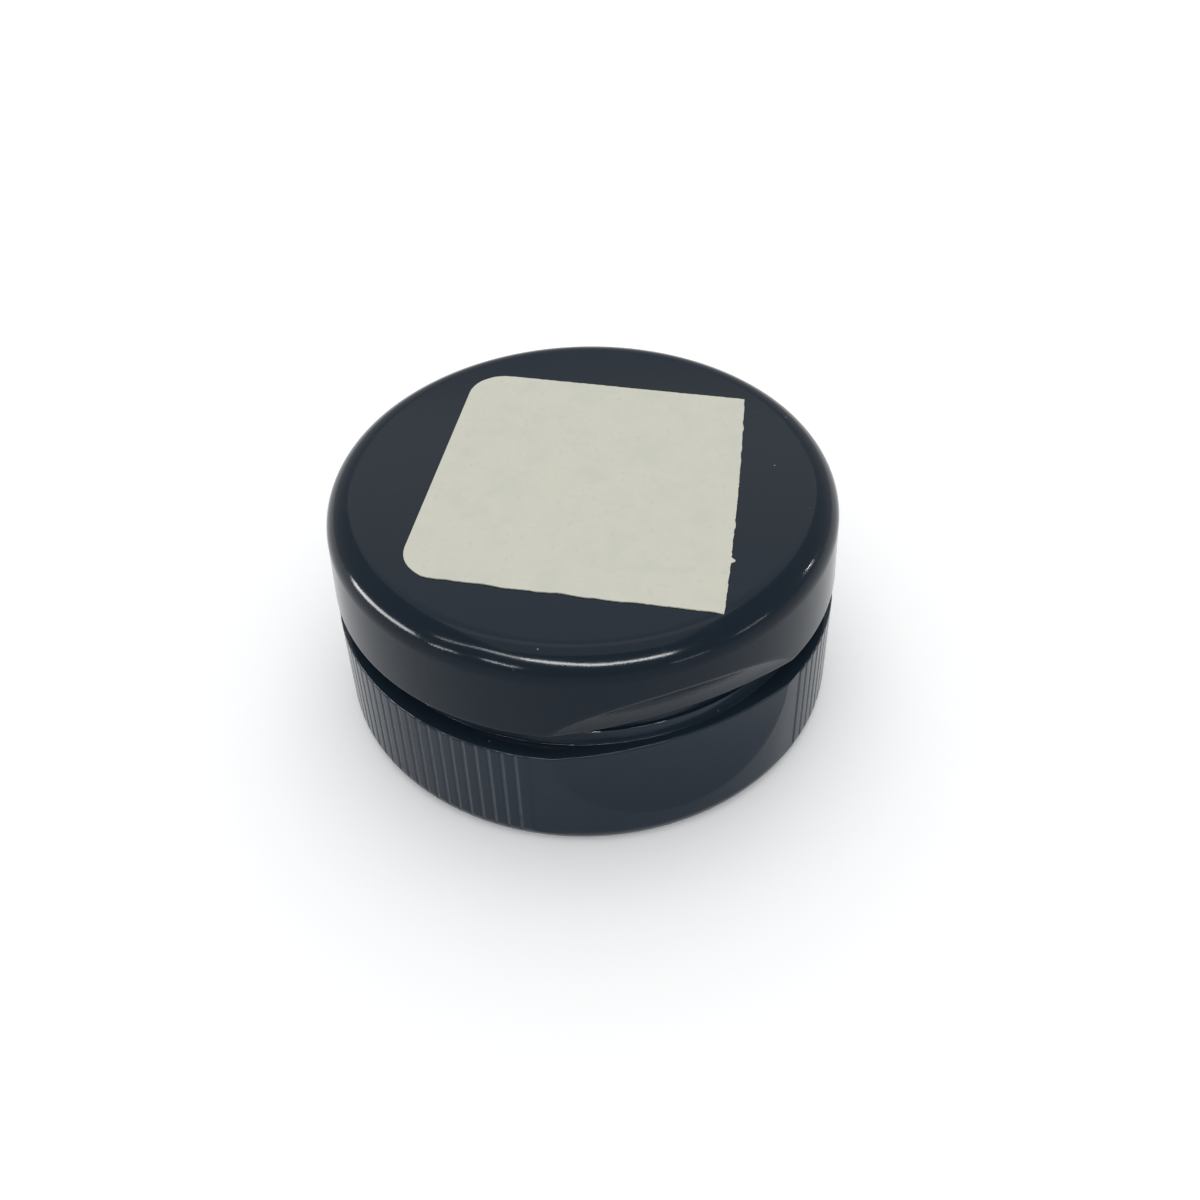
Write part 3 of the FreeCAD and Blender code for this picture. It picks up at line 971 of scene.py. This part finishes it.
def handling_wear():
    """Node group: dust specks, faint scuffs and cloudy handling marks of a moulded plastic part."""
    group = bpy.data.node_groups.get("handling_wear")
    if group:
        return group
    group = bpy.data.node_groups.new("handling_wear", "ShaderNodeTree")
    group.interface.new_socket("Vector", in_out="INPUT", socket_type="NodeSocketVector")
    for name in ("Specks", "Scuffs", "Clouds", "Height"):
        group.interface.new_socket(name, in_out="OUTPUT", socket_type="NodeSocketFloat")
    entry = group.nodes.new("NodeGroupInput")
    exit_node = group.nodes.new("NodeGroupOutput")
    vector = entry.outputs["Vector"]
    speck_cells = add_node(group, "ShaderNodeTexVoronoi", {"Scale": 520.0, "Randomness": 1.0})
    link(group, vector, speck_cells.inputs["Vector"])
    near = ramp(group, speck_cells.outputs["Distance"], 0.05, 0.025)
    picked = add_node(group, "ShaderNodeSeparateColor")
    link(group, speck_cells.outputs["Color"], picked.inputs["Color"])
    chosen = ramp(group, picked.outputs["Red"], 0.80, 0.84)
    specks = combine(group, "MULTIPLY", near, chosen)
    long_way = stretched(group, vector, (900.0, 60.0, 900.0), (0.0, 0.0, 0.6))
    cross_way = stretched(group, vector, (70.0, 1000.0, 1000.0), (0.0, 0.0, -0.25))
    first = ramp(group, noise_of(group, long_way, 1.0, 1.0), 0.70, 0.78)
    second = ramp(group, noise_of(group, cross_way, 1.0, 1.0), 0.71, 0.79)
    scuffs = combine(group, "MAXIMUM", first, second)
    clouds = noise_of(group, vector, 160.0, 4.0, 0.6)
    grain = noise_of(group, vector, 2600.0, 2.0, 0.6)
    height = combine(group, "ADD", combine(group, "MULTIPLY", specks, 2.0), grain)
    link(group, specks, exit_node.inputs["Specks"])
    link(group, scuffs, exit_node.inputs["Scuffs"])
    link(group, clouds, exit_node.inputs["Clouds"])
    link(group, height, exit_node.inputs["Height"])
    return group


def shaded_material(name):
    """A material with its Principled shader and the piece's own coordinates."""
    material = bpy.data.materials.new(name)
    material.use_nodes = True
    tree = material.node_tree
    shader = tree.nodes["Principled BSDF"]
    place = add_node(tree, "ShaderNodeTexCoord").outputs["Object"]
    return material, tree, shader, place


def mix_colours(tree, factor, first, second):
    node = add_node(tree, "ShaderNodeMix", data_type="RGBA")
    if isinstance(factor, float):
        node.inputs["Factor"].default_value = factor
    else:
        link(tree, factor, node.inputs["Factor"])
    for socket_name, item in (("A", first), ("B", second)):
        socket = next(s for s in node.inputs if s.name == socket_name and s.type == "RGBA")
        if isinstance(item, tuple):
            socket.default_value = (*item, 1.0)
        else:
            link(tree, item, socket)
    return next(s for s in node.outputs if s.type == "RGBA")


def bump(tree, height, strength, distance):
    node = add_node(tree, "ShaderNodeBump", {"Strength": strength, "Distance": distance})
    link(tree, height, node.inputs["Height"])
    return node.outputs["Normal"]


def distance_from_axis(tree, apart):
    level = add_node(tree, "ShaderNodeCombineXYZ")
    link(tree, apart.outputs["X"], level.inputs["X"])
    link(tree, apart.outputs["Y"], level.inputs["Y"])
    radius = add_node(tree, "ShaderNodeVectorMath", operation="LENGTH")
    link(tree, level.outputs["Vector"], radius.inputs[0])
    return radius.outputs["Value"]


def flute_highlight_lines(tree, place, skirt):
    """Painted highlight: 1 along the middle of each flute of the skirt, broken up a little, and 0
    elsewhere, standing in for the light that the flutes catch.
    """
    apart = add_node(tree, "ShaderNodeSeparateXYZ")
    link(tree, place, apart.inputs["Vector"])
    forward = combine(tree, "MULTIPLY", apart.outputs["Y"], -1.0)
    angle = combine(tree, "ARCTAN2", apart.outputs["X"], forward)
    off_middle = combine(tree, "PINGPONG", combine(tree, "DIVIDE", angle, skirt.rib_pitch), 0.5)
    off_middle = combine(tree, "MULTIPLY", off_middle, skirt.rib_pitch * skirt.radius)
    line = ramp(tree, off_middle, 0.5 * skirt.flute_width, 0.25 * skirt.flute_width)
    smooth_half = math.pi - skirt.rib_pitch * (skirt.flutes - 1) / 2
    turned = combine(tree, "ABSOLUTE", angle, 0.0)
    ribbed = combine(tree, "GREATER_THAN", turned, smooth_half + 0.4 * skirt.rib_pitch)
    height = apart.outputs["Z"]
    above_foot = ramp(tree, height, skirt.rib_end, skirt.rib_end + skirt.rib_corner)
    below_top = ramp(tree, height, skirt.height, skirt.height - skirt.rib_corner)
    least_radius = skirt.radius - 2 * skirt.flute_depth - 0.3 * MM
    outside = combine(tree, "GREATER_THAN", distance_from_axis(tree, apart), least_radius)
    thick = ramp(tree, noise_of(tree, place, 700.0, 3.0, 0.6), 0.05, 0.5)
    mask = line
    for other in (ribbed, above_foot, below_top, outside, thick):
        mask = combine(tree, "MULTIPLY", mask, other)
    return mask


def black_plastic(colours, body):
    """Glossy black polypropylene with dust and faint handling marks. On the base it is drawn greyer as
    painted light, and it has painted highlight lines along the flutes.
    """
    name = "black_polypropylene_" + body
    known = bpy.data.materials.get(name)
    if known:
        return known
    # Painted light: the base takes the lighter copy of the plastic's colour.
    plastic = tuple(colours.lid if body == "lid" else colours.base)
    material, tree, shader, place = shaded_material(name)
    wear = add_node(tree, "ShaderNodeGroup", node_tree=handling_wear())
    link(tree, place, wear.inputs["Vector"])
    dusty = combine(tree, "MULTIPLY", wear.outputs["Specks"], 0.8)
    rubbed = combine(tree, "MULTIPLY", wear.outputs["Scuffs"], 0.012)
    marks = combine(tree, "MAXIMUM", dusty, rubbed)
    if body == "base":
        # Painted highlight: lines of the dust colour along the flutes stand in for the light that the
        # flutes catch.
        flute_highlights = flute_highlight_lines(tree, place, bpy.context.scene.cap_skirt)
        painted_flute_highlights = combine(tree, "MULTIPLY", flute_highlights, 0.2)
        marks = combine(tree, "MAXIMUM", marks, painted_flute_highlights)
    base = mix_colours(tree, marks, plastic, tuple(colours.dust_and_highlights))
    link(tree, base, shader.inputs["Base Color"])
    uneven = combine(tree, "SUBTRACT", wear.outputs["Clouds"], 0.5)
    rough = combine(tree, "ADD", combine(tree, "MULTIPLY", uneven, 0.06), colours.gloss)
    scuffed = combine(tree, "ADD", rough, combine(tree, "MULTIPLY", wear.outputs["Scuffs"], 0.05))
    link(tree, scuffed, shader.inputs["Roughness"])
    shader.inputs["Specular IOR Level"].default_value = 0.145
    shader.inputs["IOR"].default_value = 1.49
    link(tree, bump(tree, wear.outputs["Height"], 0.12, 0.03 * MM), shader.inputs["Normal"])
    return material


def label_paper(colours):
    """Uncoated greenish cream paper with greyer patches and fine fibres."""
    material, tree, shader, place = shaded_material("label_paper")
    patches = ramp(tree, noise_of(tree, place, 420.0, 5.0, 0.7), 0.42, 0.72)
    freckles = ramp(tree, noise_of(tree, place, 1500.0, 4.0, 0.65), 0.56, 0.72)
    along_fibres = stretched(tree, place, (1800.0, 6000.0, 1800.0), (0.0, 0.0, 0.5))
    fibres = noise_of(tree, along_fibres, 1.0, 3.0)
    shade = combine(tree, "MULTIPLY", patches, 0.35)
    spots = combine(tree, "MULTIPLY", freckles, 0.55)
    worn = combine(tree, "MAXIMUM", shade, spots)
    base = mix_colours(tree, worn, tuple(colours.paper), tuple(colours.grain))
    link(tree, base, shader.inputs["Base Color"])
    rough = combine(tree, "ADD", combine(tree, "MULTIPLY", fibres, 0.12), 0.72)
    link(tree, rough, shader.inputs["Roughness"])
    shader.inputs["Specular IOR Level"].default_value = 0.3
    link(tree, bump(tree, fibres, 0.25, 0.03 * MM), shader.inputs["Normal"])
    return material


FLOOR_LIFT = 0.12


def floor_material(colours):
    """Pale floor, lifted to white for the camera and for reflections, with the cap's shadow left in."""
    material = bpy.data.materials.new("studio_floor")
    material.use_nodes = True
    tree = material.node_tree
    tree.nodes.remove(tree.nodes["Principled BSDF"])
    matt = add_node(tree, "ShaderNodeBsdfDiffuse", {"Color": (*colours.floor, 1.0)})
    rays = add_node(tree, "ShaderNodeLightPath")
    seen = combine(tree, "MAXIMUM", rays.outputs["Is Camera Ray"], rays.outputs["Is Glossy Ray"])
    seen = combine(tree, "MAXIMUM", seen, rays.outputs["Is Transmission Ray"])
    lift = add_node(tree, "ShaderNodeEmission", {"Color": (1.0, 1.0, 1.0, 1.0)})
    link(tree, combine(tree, "MULTIPLY", seen, FLOOR_LIFT), lift.inputs["Strength"])
    sum_of_both = add_node(tree, "ShaderNodeAddShader")
    link(tree, matt.outputs["BSDF"], sum_of_both.inputs[0])
    link(tree, lift.outputs["Emission"], sum_of_both.inputs[1])
    link(tree, sum_of_both.outputs["Shader"], tree.nodes["Material Output"].inputs["Surface"])
    return material


# Floor, light and camera


WORLD_COLOUR = (0.98, 0.99, 1.0, 1.0)
WORLD_STRENGTH = 0.7
FLOOR_RADIUS = 3.0
FLOOR_DROP = 0.01 * MM
CAMERA_PLACE = Vector((-30.30, -84.42, 91.78)) * MM
CAMERA_PITCH = math.radians(43.48)
CAMERA_TURN = math.radians(-20.5)
CAMERA_ROLL = 0.032
CAMERA_LENS = 42.0
CAMERA_SENSOR = 36.0
CAMERA_NEAR = 0.001
LAMP_DISTANCE = 0.8
LAMP_LIFT = Vector((0, 0, 10 * MM))


def camera_matrix():
    """Camera's place and axes, from its pitch, its turn round the cap and its roll."""
    right = Vector((1, 0, 0))
    up = Vector((0, math.sin(CAMERA_PITCH), math.cos(CAMERA_PITCH)))
    back = Vector((0, -math.cos(CAMERA_PITCH), math.sin(CAMERA_PITCH)))
    rolled_right = math.cos(CAMERA_ROLL) * right - math.sin(CAMERA_ROLL) * up
    rolled_up = math.sin(CAMERA_ROLL) * right + math.cos(CAMERA_ROLL) * up
    axes = Matrix((rolled_right, rolled_up, back)).transposed().to_4x4()
    turned = Matrix.Rotation(CAMERA_TURN, 4, "Z") @ axes
    return Matrix.Translation(CAMERA_PLACE) @ turned


def direction_at(turn, rise):
    """Direction from the cap at an angle from the camera's side and an elevation, in degrees."""
    azimuth = CAMERA_TURN + math.radians(turn)
    elevation = math.radians(rise)
    level = math.cos(elevation)
    return Vector((math.sin(azimuth) * level, -math.cos(azimuth) * level, math.sin(elevation)))


def add_lamp(name, first, last, thickness, radiance, glint):
    """Area lamp that runs from one direction to another, seen from the cap, and faces it.

    The directions are a turn from the camera's side and an elevation, in degrees. A glint lamp shows
    in the gloss of the plastic and lights nothing else.
    """
    start = direction_at(*first) * LAMP_DISTANCE
    end = direction_at(*last) * LAMP_DISTANCE
    along = (end - start).normalized()
    outward = ((start + end) / 2).normalized()
    across = outward.cross(along)
    data = bpy.data.lights.new(name, "AREA")
    data.shape = "RECTANGLE"
    data.size = (end - start).length
    data.size_y = thickness
    data.energy = radiance * math.pi * data.size * data.size_y
    lamp = bpy.data.objects.new(name, data)
    lamp.visible_diffuse = not glint
    axes = Matrix((along, across, outward)).transposed().to_4x4()
    lamp.matrix_world = Matrix.Translation((start + end) / 2 + LAMP_LIFT) @ axes
    bpy.context.scene.collection.objects.link(lamp)


# Each lamp has the directions of its two ends, its thickness in metres and its radiance
SOFT_LAMPS = {
    "back_panel": ((138.0, 50.0), (-138.0, 50.0), 0.62, 0.75),
    "top_panel": ((90.0, 66.0), (-90.0, 66.0), 0.55, 1.0),
}
GLINT_LAMPS = {
    "front_tube_right": ((36.0, 34.0), (4.0, 37.5), 0.08, 55.0),
    "front_tube_middle": ((4.0, 37.5), (-30.0, 47.0), 0.08, 55.0),
    "front_tube_left": ((-30.0, 47.0), (-52.0, 49.0), 0.05, 30.0),
    "front_tube_end": ((-52.0, 49.0), (-66.0, 34.0), 0.03, 22.0),
    "left_window": ((-104.0, 1.5), (-70.0, 11.0), 0.1, 30.0),
    "left_strip": ((-61.0, 7.0), (-52.0, 14.0), 0.03, 40.0),
    "left_upper_strip": ((-41.0, 21.0), (-27.0, 17.0), 0.035, 40.0),
    "right_strip": ((32.0, 3.0), (46.0, 3.0), 0.03, 9.0),
    "right_upper_strip": ((60.0, 12.0), (74.0, 12.0), 0.03, 13.0),
    "right_spot": ((102.2, 14.5), (104.2, 14.5), 0.03, 120.0),
}


def add_floor(colours):
    bm = bmesh.new()
    bmesh.ops.create_circle(bm, cap_ends=True, segments=96, radius=FLOOR_RADIUS)
    bmesh.ops.translate(bm, verts=list(bm.verts), vec=(0, 0, -FLOOR_DROP))
    mesh = bpy.data.meshes.new("floor")
    bm.to_mesh(mesh)
    bm.free()
    mesh.materials.append(floor_material(colours))
    floor = bpy.data.objects.new("floor", mesh)
    bpy.context.scene.collection.objects.link(floor)


def add_world():
    world = bpy.data.worlds.new("studio")
    world.use_nodes = True
    background = world.node_tree.nodes["Background"]
    background.inputs["Color"].default_value = WORLD_COLOUR
    background.inputs["Strength"].default_value = WORLD_STRENGTH
    bpy.context.scene.world = world


def add_camera():
    camera = bpy.data.cameras.new("camera")
    camera.lens = CAMERA_LENS
    camera.sensor_width = CAMERA_SENSOR
    camera.clip_start = CAMERA_NEAR
    holder = bpy.data.objects.new("camera", camera)
    holder.matrix_world = camera_matrix()
    bpy.context.scene.collection.objects.link(holder)
    bpy.context.scene.camera = holder


class CAP_OT_stage(bpy.types.Operator):
    """Pale floor, soft lamps, world light and the camera"""

    bl_idname = "cap.stage"
    bl_label = "Stage"

    def execute(self, context):
        add_floor(context.scene.cap_colours)
        add_world()
        for lamps, glint in ((SOFT_LAMPS, False), (GLINT_LAMPS, True)):
            for name, shape in lamps.items():
                add_lamp(name, *shape, glint)
        add_camera()
        context.scene.view_settings.view_transform = "Standard"
        return {"FINISHED"}


# Add-on


class CAP_PT_panel(bpy.types.Panel):
    """Sizes, colours and pieces of the flip top cap"""

    bl_idname = "CAP_PT_panel"
    bl_label = "Flip top cap"
    bl_space_type = "VIEW_3D"
    bl_region_type = "UI"
    bl_category = "Flip top cap"

    def draw(self, context):
        for property_name in SCENE_PROPERTIES:
            group = getattr(context.scene, property_name)
            box = self.layout.box()
            box.label(text=property_name.replace("_", " ").capitalize())
            for item in group.bl_rna.properties:
                if item.identifier not in {"rna_type", "name"}:
                    box.prop(group, item.identifier)
        for operator in OPERATORS:
            self.layout.operator(operator.bl_idname)


OPERATORS = (CAP_OT_base, CAP_OT_lid, CAP_OT_thread, CAP_OT_hinge, CAP_OT_label, CAP_OT_stage)
CLASSES = PROPERTY_GROUPS + OPERATORS + (CAP_PT_panel,)
SCENE_PROPERTIES = {
    "cap_skirt": CapSkirtSizes,
    "cap_lid": CapLidSizes,
    "cap_scoop": CapScoopSizes,
    "cap_lid_scoop": CapLidScoopSizes,
    "cap_label": CapLabelSizes,
    "cap_colours": CapColours,
}


def register():
    for item in CLASSES:
        bpy.utils.register_class(item)
    for name, group in SCENE_PROPERTIES.items():
        setattr(bpy.types.Scene, name, bpy.props.PointerProperty(type=group))


def unregister():
    for name in SCENE_PROPERTIES:
        delattr(bpy.types.Scene, name)
    for item in reversed(CLASSES):
        bpy.utils.unregister_class(item)


def main():
    register()
    bpy.ops.cap.stage()
    bpy.ops.cap.base()
    bpy.ops.cap.lid()
    bpy.ops.cap.thread()
    bpy.ops.cap.hinge()
    bpy.ops.cap.label()


if __name__ == "__main__":
    main()
